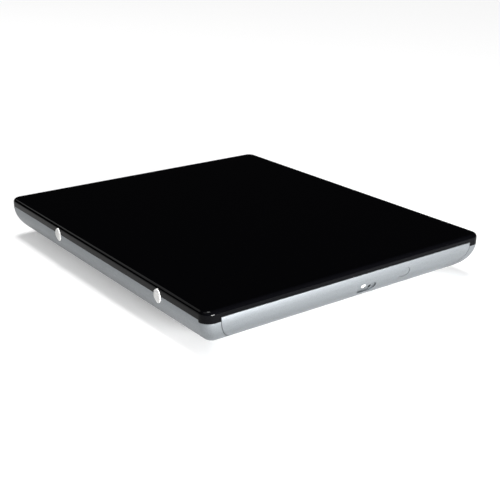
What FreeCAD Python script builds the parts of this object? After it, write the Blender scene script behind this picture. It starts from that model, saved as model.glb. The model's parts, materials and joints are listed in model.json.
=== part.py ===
import FreeCAD, Part
import math
import os

V = FreeCAD.Vector

# Slim portable DVD writer. Millimetres, +Z up, front towards -Y.
# The origin lies on the table under the middle of the case.

# Case
case_width = 148.0
case_depth = 172.0
case_height = 20.0
foot_proud = 0.6
seam_below_top = 3.8
corner_radius = 4.5
top_edge_radius = 1.8
belly_inset = 22.0
belly_arc_room = 2.4
side_wall = 1.5
top_wall = 1.4
leg_drop = 1.0
tongue_height = 0.9
tongue_wall = 0.7
seam_play = 0.1

# Front panel of the tray
bezel_side_gap = 7.2
bezel_below_top = 3.1
chin_height = 3.0
bezel_wall = 1.6
bezel_top_wall = 1.0
bezel_depth = 10.6
door_arc_room = 1.6
door_gap = 0.25
lip_gap = 0.3

# Controls in the front panel, places measured from the middle and from the top of the case
dimple_x = 6.6
dimple_below_top = 10.3
dimple_width = 10.0
dimple_height = 4.2
dimple_depth = 0.6
light_x = 4.7
light_below_top = 9.0
light_radius = 1.0
pinhole_x = 8.7
pinhole_below_top = 10.2
pinhole_radius = 0.8
button_x = 27.1
button_below_top = 8.0
button_width = 6.4
button_height = 4.4
button_gap = 0.15
button_travel = 0.4
button_flange = 0.4
flange_thick = 0.6

# Feet, side pads and screws of the case
foot_radius = 4.5
foot_recess = 0.5
foot_from_side = 30.0
foot_from_end = 32.0
pad_places = (-53.4, 32.7)
pad_below_top = 4.25
pad_height = 6.2
pad_width = 4.6
pad_proud = 0.5
pad_recess = 0.8
screw_radius = 1.0
screw_head_radius = 1.9
screw_head_height = 0.9
screw_hole_play = 0.2
head_sunk = 0.3
case_screw_from_side = 24.0
case_screw_from_end = 20.0
boss_radius = 3.0
cover_post_radius = 2.6
boss_meet_z = 9.0
drive_screw_from_side = 20.0
drive_screw_from_front = 39.0
drive_screw_from_rear = 13.6

# Housing of the tray mechanism
drive_side_room = 10.0
drive_rear_room = 34.4
drive_height = 12.7
drive_setback = 11.0
drive_lift = 2.8
sheet = 0.6
pan_corner = 2.0
top_flange = 4.5
dome_from_side = 10.0
dome_rise = 0.35
tab_size = 5.0
tab_from_side = 4.0
tab_inset = 5.0

# Telescopic slides
guide_wall = 0.7
guide_reach = 1.9
guide_height = 6.4
guide_z = 6.4
slide_gap = 0.2
rail_wall = 0.5
rail_reach = 1.8
rail_short = 8.6
rail_setback = 3.0

# Tray
slide_room = 3.4
tray_bottom_z = 6.4
tray_top_z = 15.5
deck_z = 12.7
deck_thick = 1.0
tray_wall = 1.3
tray_corner = 3.0
tray_lead = 3.0
tray_rear_gap = 3.6
bottom_plate_edge = 17.5
notch_x = 0.0
notch_gap = 17.0
recess_overhang = 1.3
recess_flare = 0.6
small_disc_inset = 20.1
small_disc_depth = 0.4
plate_thick = 0.4
finger_radius = 11.0

# Pickup unit, in its own directions: u runs out from the spindle along the travel, v across it
sled_direction = 225.0
frame_z = 7.2
frame_height = 3.2
motor_hole_radius = 14.5
rod_z = 8.9
main_rod_v = 16.0
main_rod_radius = 1.5
aux_rod_v = -15.0
aux_rod_radius = 1.0
rod_start_u = 6.5
rod_end_u = 66.0
lens_home_u = 23.0
pickup_travel = 35.0
pickup_z = 7.1
pickup_height = 4.1
running_gap = 0.05
fork_gap = 0.1
shield_thick = 0.3
screw_v = -21.0
lead_screw_radius = 1.3
lead_screw_start_u = -1.7
lead_screw_end_u = 51.2
pivot_radius = 0.6
bearing_radius = 1.5
stepper_radius = 2.4
stepper_length = 14.0
damper_places = ((-12.5, -13.5), (3.0, 18.6), (30.0, -31.5))
damper_radius = 2.7
damper_bore = 1.1
damper_stand = 0.4

# Spindle
turntable_z = 13.9
turntable_radius = 13.0
hub_radius = 7.4
hub_top_z = 16.3
hub_taper = 1.0
disc_thick = 1.1
ring_thick = 0.7
ring_inner_radius = 9.6
rotor_radius = 12.6
rotor_wall = 0.6
shaft_radius = 0.95
shaft_gap = 0.05
claw_angles = (90, 210, 330)
claw_width = 1.8
claw_lift = 0.7
claw_reach = 0.5
claw_travel = 0.6
claw_gap = 0.1

# Latch and ejector
latch_pivot_x = 41.5
latch_pivot_y = -59.0
latch_pivot_radius = 1.2
latch_thick = 1.2
latch_z = 7.0
latch_swing = 8.0
post_offset = 5.4
post_y = -72.9
post_radius = 1.2
post_top_z = 8.8
ejector_x = -53.5
ejector_z = 9.0
ejector_radius = 1.2

# Cable, boards and sockets
cable_x = 31.0
cable_width = 22.0
cable_thick = 0.2
cable_fold_y = -27.0
cable_low_z = 5.7
cable_high_z = 8.5
board_thick = 1.0
tray_board_z = 9.6
bridge_board_z = 8.0
bridge_board_thick = 1.2
board_margin = 6.5
board_screw_x = 38.0
usb_x = -20.0
usb_width = 7.7
usb_height = 3.9
usb_length = 9.2
jack_x = 14.0
jack_width = 6.6
jack_height = 5.6
jack_bore = 1.8
jack_pin = 0.65
socket_face_gap = 1.8
socket_play = 0.4
connector_x = 22.0
connector_width = 36.0

# Places that follow from the sizes above
half_width = case_width / 2
half_depth = case_depth / 2
bezel_width = case_width - 2 * bezel_side_gap
drive_width = case_width - 2 * drive_side_room
drive_length = case_depth - drive_setback - drive_rear_room
top_z = case_height
hull_z = foot_proud
seam_z = top_z - seam_below_top
belly_drop = seam_z - hull_z
belly_arc = belly_drop - belly_arc_room
inner_floor_z = hull_z + side_wall
ceiling_z = top_z - top_wall
bezel_top_z = top_z - bezel_below_top
bezel_bottom_z = hull_z + chin_height
door_arc = seam_z - bezel_bottom_z - door_arc_room
bezel_back_y = -half_depth + bezel_depth
drive_z = inner_floor_z + drive_lift
drive_front_y = -half_depth + drive_setback
drive_rear_y = drive_front_y + drive_length
drive_top_z = drive_z + drive_height
pan_half = drive_width / 2 - sheet
pan_top_z = drive_top_z - sheet
pan_inside = pan_half - sheet
tray_half = pan_inside - slide_room
tray_front_y = drive_front_y - tray_lead
tray_rear_y = drive_rear_y - sheet - tray_rear_gap
notch_y = drive_rear_y - notch_gap
recess_radius = tray_half + recess_overhang
small_disc_radius = recess_radius - small_disc_inset
hub_y = tray_front_y + tray_wall + recess_radius
deck_under_z = deck_z - deck_thick
rail_front_y = drive_front_y + rail_setback
rail_length = drive_length - rail_short
guide_rear_y = drive_rear_y - sheet
rail_outer_x = pan_inside - guide_wall - slide_gap
rail_z = guide_z + guide_wall + slide_gap
rail_height = guide_height - 2 * (guide_wall + slide_gap)
runner_x = rail_outer_x - rail_wall - slide_gap
runner_z = rail_z + rail_wall + slide_gap
runner_height = rail_height - 2 * (rail_wall + slide_gap)
light_z = top_z - light_below_top
pinhole_z = top_z - pinhole_below_top
button_z = top_z - button_below_top
dimple_z = top_z - dimple_below_top
hub_flange_z = turntable_z - ring_thick
claw_z = turntable_z + claw_lift
front_board_y = tray_front_y - 0.4 - board_thick
socket_face_y = half_depth - socket_face_gap
bridge_middle_y = (drive_rear_y + half_depth) / 2
post_x = latch_pivot_x + post_offset
foot_x = half_width - foot_from_side
foot_y = half_depth - foot_from_end
case_screw_x = half_width - case_screw_from_side
case_screw_y = half_depth - case_screw_from_end
drive_screw_x = drive_width / 2 - drive_screw_from_side
drive_screw_front_y = drive_front_y + drive_screw_from_front
drive_screw_rear_y = drive_rear_y - drive_screw_from_rear
dome_radius = drive_width / 2 - dome_from_side
tab_x = drive_width / 2 - tab_from_side


# Plain shapes


def box(x0, x1, y0, y1, z0, z1):
    return Part.makeBox(x1 - x0, y1 - y0, z1 - z0, V(x0, y0, z0))


def post(x, y, z0, z1, radius):
    return Part.makeCylinder(radius, z1 - z0, V(x, y, z0))


def rod_x(x0, x1, y, z, radius):
    return Part.makeCylinder(radius, x1 - x0, V(x0, y, z), V(1, 0, 0))


def rod_y(x, y0, y1, z, radius):
    return Part.makeCylinder(radius, y1 - y0, V(x, y0, z), V(0, 1, 0))


def join(*shapes):
    whole = shapes[0]
    for shape in shapes[1:]:
        whole = whole.fuse(shape)
    return whole.removeSplitter()


def group(shapes):
    """Several separate solids kept in one file, such as four alike screws."""
    return Part.makeCompound(shapes)


def round_rectangle(x0, x1, y0, y1, z, radius):
    """Closed outline lying flat at height z, a rectangle with round corners."""
    corners = ((x1 - radius, y0 + radius, 315), (x1 - radius, y1 - radius, 45),
               (x0 + radius, y1 - radius, 135), (x0 + radius, y0 + radius, 225))
    arcs = []
    for x, y, middle in corners:
        ends = [V(x + radius * math.cos(math.radians(middle + turn)),
                  y + radius * math.sin(math.radians(middle + turn)), z) for turn in (-45, 0, 45)]
        arcs.append(ends)
    edges = []
    for i, (start, middle, end) in enumerate(arcs):
        edges.append(Part.Arc(start, middle, end).toShape())
        edges.append(Part.makeLine(end, arcs[(i + 1) % 4][0]))
    return Part.Wire(edges)


def round_plate(x0, x1, y0, y1, z0, z1, radius):
    outline = round_rectangle(x0, x1, y0, y1, z0, radius)
    return Part.Face(outline).extrude(V(0, 0, z1 - z0))


def polygon_plate(points, z0, z1):
    corners = [V(x, y, z0) for x, y in points]
    return Part.Face(Part.makePolygon(corners + corners[:1])).extrude(V(0, 0, z1 - z0))


def oval(x, z, width, height, y0, y1):
    """Upright oval with round ends that runs from y0 to y1."""
    radius = height / 2
    reach = width / 2 - radius
    left, right = x - reach, x + reach
    edges = [
        Part.makeLine(V(left, y0, z - radius), V(right, y0, z - radius)),
        Part.Arc(V(right, y0, z - radius), V(right + radius, y0, z), V(right, y0, z + radius)).toShape(),
        Part.makeLine(V(right, y0, z + radius), V(left, y0, z + radius)),
        Part.Arc(V(left, y0, z + radius), V(left - radius, y0, z), V(left, y0, z - radius)).toShape(),
    ]
    return Part.Face(Part.Wire(edges)).extrude(V(0, y1 - y0, 0))


def turned(profile):
    """Solid turned about the spindle from a closed profile of (radius, height) points."""
    corners = [V(r, hub_y, z) for r, z in profile]
    face = Part.Face(Part.makePolygon(corners + corners[:1]))
    return face.revolve(V(0, hub_y, 0), V(0, 0, 1), 360)


def screw(x, y, head_z, head_height, tip_z, radius, head_radius):
    """Screw driven upwards: its head starts at head_z and its shank ends at tip_z."""
    head = post(x, y, head_z, head_z + head_height, head_radius)
    return join(head, post(x, y, head_z + head_height, tip_z, radius))


# Outer form of the case


def hull_section(half, reach, drop, tight_arc, top, place):
    """Face with a level bottom and upright sides that turn under in two tangent arcs.

    The sides are upright from top down to the seam. place puts a point (across, height) in space.
    """
    wide_arc = ((reach - tight_arc) ** 2 + drop ** 2 - tight_arc ** 2) / (2 * (drop - tight_arc))
    near = (half - tight_arc, seam_z)
    far = (half - reach, seam_z - drop + wide_arc)
    lean = math.atan2(near[1] - far[1], near[0] - far[0])
    edges = [Part.makeLine(place(-half, top), place(half, top)),
             Part.makeLine(place(reach - half, seam_z - drop), place(half - reach, seam_z - drop))]
    for side in (-1, 1):
        spots = []
        for centre, radius, angle in ((near, tight_arc, 0), (near, tight_arc, lean / 2),
                                      (near, tight_arc, lean), (far, wide_arc, (lean - math.pi / 2) / 2),
                                      (far, wide_arc, -math.pi / 2)):
            spots.append(place(side * (centre[0] + radius * math.cos(angle)),
                               centre[1] + radius * math.sin(angle)))
        edges.append(Part.Arc(spots[0], spots[1], spots[2]).toShape())
        edges.append(Part.Arc(spots[2], spots[3], spots[4]).toShape())
        if top > seam_z:
            edges.append(Part.makeLine(place(side * half, top), spots[0]))
    return Part.Face(Part.Wire(Part.sortEdges(edges)[0]))


def belly(inset):
    """Lower part of the case: two bars of the hull's section cross, and their mitres are rounded."""
    reach, drop, tight_arc = belly_inset - inset, belly_drop - inset, belly_arc - inset
    wide, deep = half_width - inset, half_depth - inset
    across = hull_section(wide, reach, drop, tight_arc, seam_z, lambda x, z: V(x, -deep, z))
    along = hull_section(deep, reach, drop, tight_arc, seam_z, lambda y, z: V(-wide, y, z))
    solid = across.extrude(V(0, 2 * deep, 0)).common(along.extrude(V(2 * wide, 0, 0)))
    mitres = [edge for edge in solid.Edges if edge.BoundBox.XLength > 1 and edge.BoundBox.YLength > 1]
    return solid.makeFillet(corner_radius - inset, mitres)


def crown(inset, edge_radius):
    """Upper part of the case, upright at the sides and flat on top."""
    radius = max(corner_radius - inset, 0.5)
    top = top_z - inset * top_wall / side_wall
    solid = round_plate(inset - half_width, half_width - inset, inset - half_depth,
                        half_depth - inset, seam_z, top, radius)
    if edge_radius > 0:
        rim = [edge for edge in solid.Edges if edge.BoundBox.ZMin > top - 0.01]
        solid = solid.makeFillet(edge_radius, rim)
    return solid


def envelope(inset):
    """Whole outer form of the case, drawn in by inset."""
    return belly(inset).fuse(crown(inset, 0))


def door(gap, top, y_end):
    """Outline of the tray's front panel grown by gap, run back from the front of the case to y_end."""
    half = bezel_width / 2 + gap
    reach = half - (half_width - belly_inset)
    drop = seam_z - bezel_bottom_z + gap
    front = -case_depth
    section = hull_section(half, reach, drop, door_arc + gap, top, lambda x, z: V(x, front, z))
    return section.extrude(V(0, y_end - front, 0))


def pad_leaf(y, grow):
    """Leaf outline of a side pad, pointed above and below, run in from the left."""
    half_high = pad_height / 2 + grow
    half_wide = pad_width / 2 + grow
    z = top_z - pad_below_top
    x = -half_width - 5
    low, high = V(x, y, z - half_high), V(x, y, z + half_high)
    edges = [Part.Arc(low, V(x, y + half_wide, z), high).toShape(),
             Part.Arc(high, V(x, y - half_wide, z), low).toShape()]
    return Part.Face(Part.Wire(edges)).extrude(V(10, 0, 0))


def leg_zone():
    """Space of the cover's two short pillars, at the front corners just under the side seam."""
    return box(-half_width - 1, half_width + 1, -half_depth - 1, -half_depth + corner_radius,
               seam_z - leg_drop, seam_z)


def seam_ring(outer_inset, height):
    """Band along the inner side of the seam, behind the front pillars."""
    ring = round_plate(outer_inset - half_width, half_width - outer_inset,
                       outer_inset - half_depth, half_depth - outer_inset,
                       seam_z, seam_z + height, corner_radius - outer_inset)
    inside = round_plate(side_wall - half_width, half_width - side_wall,
                         side_wall - half_depth, half_depth - side_wall,
                         seam_z, seam_z + height, corner_radius - side_wall)
    behind = box(-half_width, half_width, -half_depth + corner_radius, half_depth,
                 seam_z, seam_z + height)
    return ring.cut(inside).common(behind)


def case_screw_places():
    return [(side * case_screw_x, case_screw_y) for side in (-1, 1)]


def drive_screw_places():
    return [(side * drive_screw_x, y) for y in (drive_screw_front_y, drive_screw_rear_y)
            for side in (-1, 1)]


def top_cover():
    cover = crown(0, top_edge_radius).fuse(belly(0).common(leg_zone()))
    cover = cover.cut(envelope(side_wall))
    cover = cover.cut(seam_ring(side_wall - tongue_wall - seam_play, tongue_height + seam_play))
    for x, y in case_screw_places():
        cover = cover.fuse(post(x, y, boss_meet_z, ceiling_z, cover_post_radius))
        cover = cover.cut(post(x, y, boss_meet_z, boss_meet_z + 4, screw_radius))
    cover = cover.cut(door(door_gap, bezel_top_z + lip_gap, bezel_back_y + 1))
    for y in pad_places:
        cover = cover.cut(pad_leaf(y, 0).cut(envelope(pad_recess)))
    return cover.removeSplitter()


def bottom_cover():
    hull = belly(0).cut(leg_zone()).cut(envelope(side_wall))
    hull = hull.fuse(seam_ring(side_wall - tongue_wall, tongue_height))
    for x, y in case_screw_places():
        hull = hull.fuse(post(x, y, inner_floor_z - 0.2, boss_meet_z, boss_radius))
    for x, y in drive_screw_places():
        hull = hull.fuse(post(x, y, inner_floor_z - 0.2, drive_z, boss_radius))
    for x, y in case_screw_places() + drive_screw_places():
        seat = hull_z + head_sunk + screw_head_height
        hull = hull.cut(post(x, y, 0, seat, screw_head_radius + screw_hole_play))
        hull = hull.cut(post(x, y, 0, boss_meet_z, screw_radius))
    for x, y in board_screw_places():
        hull = hull.fuse(post(x, y, inner_floor_z - 0.2, bridge_board_z, boss_radius - 0.5))
        hull = hull.cut(post(x, y, inner_floor_z + 1, bridge_board_z, screw_radius))
    for x, y in foot_places():
        hull = hull.cut(post(x, y, 0, hull_z + foot_recess, foot_radius))
    hull = hull.cut(door(door_gap, bezel_top_z, bezel_back_y + 0.8))
    for y in pad_places:
        hull = hull.cut(pad_leaf(y, 0).cut(envelope(pad_recess)))
    socket_z = bridge_board_z + bridge_board_thick
    hull = hull.cut(box(usb_x - usb_width / 2 - socket_play, usb_x + usb_width / 2 + socket_play,
                        socket_face_y - 6, half_depth, socket_z - socket_play,
                        socket_z + usb_height + socket_play))
    hull = hull.cut(rod_y(jack_x, socket_face_y - 6, half_depth, socket_z + jack_height / 2,
                          jack_height / 2 + socket_play))
    return hull.removeSplitter()


def foot_places():
    return [(x * foot_x, y * foot_y) for x in (-1, 1) for y in (-1, 1)]


def rubber_feet():
    feet = []
    for x, y in foot_places():
        foot = post(x, y, 0, hull_z + foot_recess, foot_radius)
        rim = [edge for edge in foot.Edges if edge.BoundBox.ZMax < 0.01]
        feet.append(foot.makeChamfer(foot_proud / 2, rim))
    return group(feet)


def side_pads():
    pads = []
    for y in pad_places:
        pads.append(pad_leaf(y, 0).common(envelope(-pad_proud)).cut(envelope(pad_recess)))
    return group(pads)


def case_screws():
    z = hull_z + head_sunk
    return group([screw(x, y, z, screw_head_height, boss_meet_z + 4, screw_radius, screw_head_radius)
                  for x, y in case_screw_places()])


def drive_screws():
    z = hull_z + head_sunk
    return group([screw(x, y, z, screw_head_height, drive_z + sheet, screw_radius, screw_head_radius)
                  for x, y in drive_screw_places()])


# Steel housing of the mechanism


def tab_places():
    return [(side * tab_x, y) for side in (-1, 1)
            for y in (drive_front_y + tab_inset, drive_rear_y - tab_inset)]


def drive_pan():
    pan = round_plate(-pan_half, pan_half, drive_front_y, drive_rear_y, drive_z, pan_top_z, pan_corner)
    inside = round_plate(-pan_inside, pan_inside, drive_front_y - 10, drive_rear_y - sheet,
                         drive_z + sheet, pan_top_z, pan_corner - sheet)
    pan = pan.cut(inside)
    pan = pan.cut(box(-pan_inside, pan_inside, drive_front_y - 1, drive_front_y + pan_corner,
                      drive_z + sheet, pan_top_z))
    for x, y in tab_places():
        side = math.copysign(1, x)
        tab = box(min(x - side * tab_size / 2, side * pan_inside), max(x - side * tab_size / 2, side * pan_inside),
                  y - tab_size / 2, y + tab_size / 2, pan_top_z - sheet, pan_top_z)
        pan = pan.fuse(tab).cut(post(x, y, pan_top_z - sheet, pan_top_z, screw_radius))
    for x, y in drive_screw_places():
        pan = pan.cut(post(x, y, drive_z, drive_z + sheet, screw_radius))
    half = connector_width / 2 + 1
    pan = pan.cut(box(connector_x - half, connector_x + half, drive_rear_y - 3, drive_rear_y + 1,
                      drive_z + sheet + 0.8, drive_z + 7))
    return pan.removeSplitter()


def drive_top_plate():
    half = drive_width / 2
    plate = box(-half, half, drive_front_y, drive_rear_y, pan_top_z, drive_top_z)
    for side in (-1, 1):
        x0, x1 = sorted((side * pan_half, side * half))
        plate = plate.fuse(box(x0, x1, drive_front_y + 4, drive_rear_y - 4, pan_top_z - top_flange, pan_top_z))
    middle_y = (drive_front_y + drive_rear_y) / 2
    plate = plate.fuse(post(0, middle_y, drive_top_z, drive_top_z + dome_rise, dome_radius))
    plate = plate.cut(post(0, middle_y, pan_top_z, pan_top_z + dome_rise, dome_radius - sheet))
    for x, y in tab_places():
        plate = plate.cut(post(x, y, pan_top_z, drive_top_z, screw_radius))
    return plate.removeSplitter()


def top_plate_screws():
    screws = []
    for x, y in tab_places():
        head = post(x, y, drive_top_z, drive_top_z + 0.5, screw_head_radius)
        screws.append(join(head, post(x, y, pan_top_z - sheet, drive_top_z, screw_radius)))
    return group(screws)


def channel(side, outer_x, reach, y0, y1, z0, height, wall):
    """Strip of C section along Y, open towards the middle of the drive."""
    x0, x1 = sorted((side * outer_x, side * (outer_x - reach)))
    solid = box(x0, x1, y0, y1, z0, z0 + height)
    h0, h1 = sorted((side * (outer_x - wall), side * (outer_x - reach - 1)))
    return solid.cut(box(h0, h1, y0, y1, z0 + wall, z0 + height - wall))


def slide_guide(side):
    return channel(side, pan_inside, guide_reach, drive_front_y + 1, guide_rear_y - 2,
                   guide_z, guide_height, guide_wall)


def slide_rail(side):
    return channel(side, rail_outer_x, rail_reach, rail_front_y, rail_front_y + rail_length,
                   rail_z, rail_height, rail_wall)


def latch_post():
    foot = post(post_x, post_y, drive_z + sheet, drive_z + sheet + 0.4, post_radius + 1)
    return join(foot, post(post_x, post_y, drive_z + sheet, post_top_z, post_radius))


# Tray


def tray_plan(inset, z0, z1):
    """Plan of the tray, with the corner left out where the fixed connectors stand."""
    radius = tray_corner - inset
    front = round_plate(inset - tray_half, tray_half - inset, tray_front_y + inset,
                        notch_y - inset, z0, z1, radius)
    rear = round_plate(inset - tray_half, notch_x - inset, notch_y - 20, tray_rear_y - inset,
                       z0, z1, radius)
    return front.fuse(rear)


def seated(shape):
    """Turn a shape from the pickup unit's own directions and set it on the spindle."""
    placed = shape.copy()
    placed.rotate(V(0, 0, 0), V(0, 0, 1), sled_direction)
    placed.translate(V(0, hub_y, 0))
    return placed


def seated_point(u, v):
    turn = math.radians(sled_direction)
    return (u * math.cos(turn) - v * math.sin(turn), hub_y + u * math.sin(turn) + v * math.cos(turn))


def tray():
    body = tray_plan(0, tray_bottom_z, tray_top_z)
    body = body.cut(tray_plan(tray_wall, tray_bottom_z, deck_under_z))
    recess = Part.makeCone(recess_radius, recess_radius + recess_flare, tray_top_z - deck_z,
                           V(0, hub_y, deck_z))
    rim_hollow = tray_plan(2 * tray_wall, deck_under_z, tray_top_z - deck_thick)
    rim_hollow = rim_hollow.cut(post(0, hub_y, deck_under_z, tray_top_z,
                                     recess_radius + recess_flare + tray_wall))
    body = body.cut(recess).cut(rim_hollow)
    body = body.cut(post(0, hub_y, deck_z - small_disc_depth, tray_top_z, small_disc_radius))
    for degrees in (45, 315):
        turn = math.radians(degrees)
        body = body.cut(post(recess_radius * math.cos(turn), hub_y + recess_radius * math.sin(turn),
                             deck_z, tray_top_z, finger_radius))
    window = round_plate(8, rod_end_u, -14, 14, deck_under_z - 1, tray_top_z, 3)
    body = body.cut(seated(window)).cut(post(0, hub_y, deck_under_z - 1, tray_top_z, turntable_radius + 1.6))
    for side in (-1, 1):
        x0, x1 = sorted((side * (tray_half - 0.5), side * runner_x))
        y1 = tray_rear_y - 1 if side < 0 else notch_y - 1
        body = body.fuse(box(x0, x1, tray_front_y + 6, y1, runner_z, runner_z + runner_height))
    for u, v in damper_places:
        x, y = seated_point(u, v)
        body = body.fuse(post(x, y, frame_z + frame_height + damper_stand, deck_under_z, 2.2))
        body = body.cut(post(x, y, frame_z, deck_under_z + 0.4, damper_bore))
    for x, y in tray_board_screws():
        outside = math.hypot(x, y - hub_y) > recess_radius
        top = tray_top_z - deck_thick if outside else deck_under_z
        body = body.fuse(post(x, y, tray_board_z + board_thick, top, 2.0))
    body = body.fuse(post(latch_pivot_x, latch_pivot_y, latch_z, deck_under_z, latch_pivot_radius))
    body = body.fuse(post(latch_pivot_x, latch_pivot_y, latch_z + latch_thick + 0.2, deck_under_z, 2.4))
    lane = post_radius + 0.4
    body = body.cut(box(post_x - lane, post_x + lane, notch_y - 5, notch_y + 1, tray_bottom_z,
                        post_top_z + 0.4))
    body = body.cut(box(cable_x - cable_width / 2 - 1, cable_x + cable_width / 2 + 1, notch_y - 5,
                        notch_y + 1, tray_bottom_z, tray_board_z))
    body = body.cut(rod_y(pinhole_x, tray_front_y - 1, tray_front_y + 3, pinhole_z, 1.0))
    boss = box(ejector_x - 3, ejector_x + 3, tray_rear_y - 22, tray_rear_y - 18, ejector_z - 2.5,
               tray_top_z - deck_thick)
    body = body.fuse(boss).cut(rod_y(ejector_x, tray_rear_y - 24, tray_rear_y + 1, ejector_z,
                                     ejector_radius + 0.1))
    return body.removeSplitter()


def tray_bottom_plate():
    edge = bottom_plate_edge
    low, high = tray_bottom_z - plate_thick, tray_bottom_z
    plate = round_plate(-tray_half + 0.2, edge, tray_front_y + 0.8, tray_rear_y - 0.2, low, high, 2)
    plate = plate.cut(box(notch_x - 0.2, edge, notch_y - 0.2, tray_rear_y, low, high))
    for u, v in ((44, 0), (20, 0)):
        x, y = seated_point(u, v)
        plate = plate.cut(post(x, y, low, high, 5))
    return plate


# Front panel and its controls


def bezel():
    outer = door(0, bezel_top_z, bezel_back_y).common(envelope(0))
    hollow = door(-bezel_wall, bezel_top_z, bezel_back_y + 1).common(envelope(bezel_wall))
    panel = outer.cut(hollow.common(box(-half_width, half_width, -half_depth, 0, 0,
                                        bezel_top_z - bezel_top_wall)))
    panel = panel.cut(box(-tray_half - 0.1, tray_half + 0.1, tray_front_y - 0.1, bezel_back_y + 1,
                          tray_bottom_z - plate_thick - 0.1, tray_top_z))
    for x in (-52, -26, 48):
        rib = box(x - 0.6, x + 0.6, -half_depth, tray_front_y, bezel_bottom_z, bezel_top_z)
        panel = panel.fuse(rib.common(outer))
    dimple = oval(dimple_x, dimple_z, dimple_width, dimple_height, -case_depth, tray_front_y)
    panel = panel.cut(dimple.cut(envelope(dimple_depth)))
    panel = panel.cut(rod_y(light_x, -case_depth, tray_front_y, light_z, light_radius))
    panel = panel.cut(rod_y(pinhole_x, -case_depth, tray_front_y, pinhole_z, pinhole_radius))
    panel = panel.cut(oval(button_x, button_z, button_width, button_height, -case_depth, tray_front_y))
    return panel.removeSplitter()


def eject_button():
    back_y = front_board_y - 1.5
    cap = oval(button_x, button_z, button_width - 2 * button_gap, button_height - 2 * button_gap,
               -case_depth, back_y)
    cap = cap.common(envelope(0.1))
    flange = oval(button_x, button_z, button_width + 2 * button_flange,
                  button_height + 2 * button_flange, back_y - flange_thick, back_y)
    return join(cap, flange)


def light_guide():
    pipe = rod_y(light_x, -case_depth, front_board_y - 0.9, light_z, light_radius)
    return pipe.common(envelope(dimple_depth - 0.1))


def front_board():
    board = box(light_x - 5, button_x + 6, front_board_y, front_board_y + board_thick, 7.6, 14.8)
    board = board.cut(rod_y(pinhole_x, front_board_y - 1, front_board_y + 2, pinhole_z, 1.2))
    for x in (light_x - 3, button_x + 4):
        board = board.fuse(box(x - 1, x + 1, front_board_y + board_thick, tray_front_y, 9, 11))
    return board


def eject_switch():
    body = box(button_x - 2.2, button_x + 2.2, front_board_y - 0.8, front_board_y, button_z - 1.6, button_z + 1.6)
    return join(body, rod_y(button_x, front_board_y - 1.0, front_board_y - 0.8, button_z, 0.9))


def indicator_light():
    return box(light_x - 0.8, light_x + 0.8, front_board_y - 0.9, front_board_y, light_z - 0.8, light_z + 0.8)


# Pickup unit


def traverse_frame():
    outline = [(-17.5, -28), (24, -28), (26, -35), (34, -35), (36, -28), (53.5, -28), (61, -20.3),
               (69.5, -12), (69.5, 13), (62, 22.5), (-2, 22.5), (-9, 16), (-17.5, 4)]
    window = [(10, -19.2), (60.3, -19.2), (68, -11.5), (68, 12), (61, 20.2), (10, 20.2)]
    low, high = frame_z, frame_z + frame_height
    frame = polygon_plate(outline, low, high)
    frame = frame.cut(polygon_plate(window, low, high))
    frame = frame.cut(box(lead_screw_start_u - stepper_length - 1, lead_screw_end_u + 0.3,
                          screw_v - stepper_radius - 1.6, screw_v + stepper_radius + 0.3, low, high))
    frame = frame.cut(post(0, 0, low, high, motor_hole_radius))
    frame = frame.cut(rod_x(rod_start_u, rod_end_u, main_rod_v, rod_z, main_rod_radius))
    frame = frame.cut(rod_x(rod_start_u, rod_end_u, aux_rod_v, rod_z, aux_rod_radius))
    frame = frame.cut(rod_x(lead_screw_end_u, lead_screw_end_u + 2.2, screw_v, rod_z, bearing_radius))
    for u, v in damper_places:
        frame = frame.cut(post(u, v, low, high, damper_radius))
    return seated(frame.removeSplitter())


def dampers():
    rubbers = []
    for u, v in damper_places:
        rubber = post(u, v, frame_z - damper_stand, frame_z + frame_height + damper_stand, damper_radius)
        rubbers.append(seated(rubber.cut(post(u, v, 0, deck_z, damper_bore))))
    return group(rubbers)


def damper_screws():
    screws = []
    for u, v in damper_places:
        head_z = frame_z - damper_stand - 0.35
        screws.append(seated(screw(u, v, head_z, 0.35, deck_under_z + 0.4, damper_bore, 2.2)))
    return group(screws)


def guide_rod_main():
    return seated(rod_x(rod_start_u, rod_end_u, main_rod_v, rod_z, main_rod_radius))


def guide_rod_aux():
    return seated(rod_x(rod_start_u, rod_end_u, aux_rod_v, rod_z, aux_rod_radius))


def sled_motor():
    end_u = lead_screw_start_u - 0.3
    can = rod_x(end_u - stepper_length, end_u, screw_v, rod_z, stepper_radius)
    plate = box(end_u - 0.5, end_u, screw_v - stepper_radius - 1.4, screw_v + 2.3, frame_z, deck_under_z - 0.5)
    terminals = box(end_u - 9, end_u - 5, screw_v + 1.5, screw_v + 3.6, frame_z + frame_height, deck_under_z - 0.2)
    return seated(join(can, plate, terminals))


def screw_bearing():
    u0 = lead_screw_end_u + 0.3
    tube = rod_x(u0, lead_screw_end_u + 2.2, screw_v, rod_z, bearing_radius)
    return seated(tube.cut(rod_x(u0 - 1, lead_screw_end_u + 1.9, screw_v, rod_z, pivot_radius + shaft_gap)))


def lead_screw():
    thread = rod_x(lead_screw_start_u, lead_screw_end_u, screw_v, rod_z, lead_screw_radius)
    return seated(join(thread, rod_x(lead_screw_end_u, lead_screw_end_u + 1.8, screw_v, rod_z, pivot_radius)))


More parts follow.
